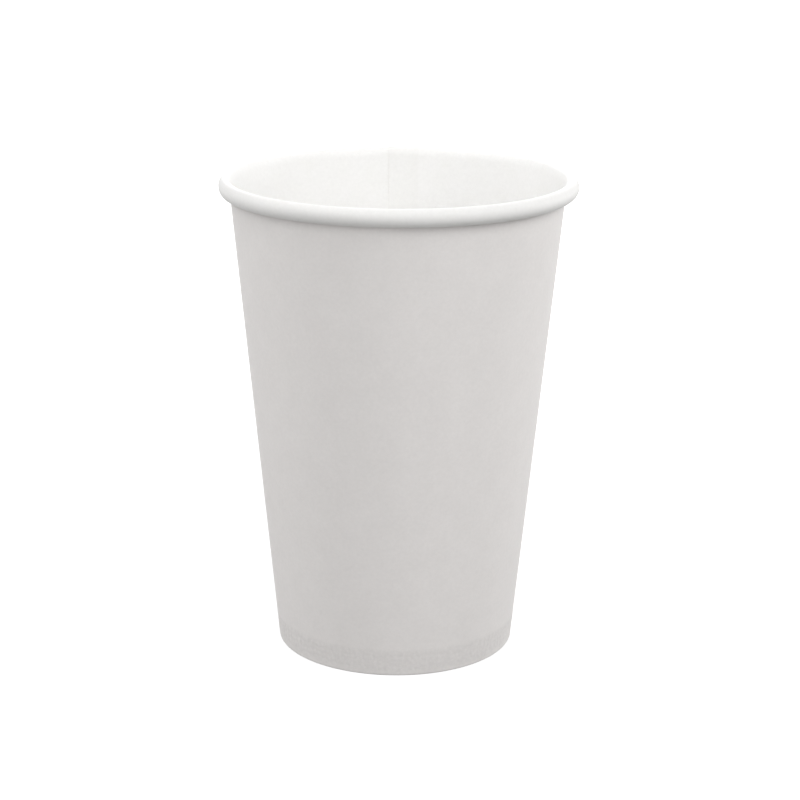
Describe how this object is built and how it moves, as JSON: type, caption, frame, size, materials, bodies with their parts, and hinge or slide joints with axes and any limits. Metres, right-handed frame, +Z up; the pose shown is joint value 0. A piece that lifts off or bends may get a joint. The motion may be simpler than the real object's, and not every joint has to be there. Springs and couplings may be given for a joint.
{
  "type": "paper coffee cup",
  "caption": "Tapered single-wall hot drink cup of plain white board, with a rolled rim, a lapped side seam and a base set up inside a folded hem.",
  "frame": {"origin": "centre of the ring that the cup stands on, at table height", "axes": "+Z up along the cup's axis; the side seam is at the back, on the +Y side"},
  "size_m": [0.09, 0.09, 0.1212],
  "materials": {
    "wall_board": "matte",
    "base_board": "matte"
  },
  "bodies": {
    "root": {"sidewall": "wall_board", "base_disc": "base_board"}
  },
  "joints": []
}
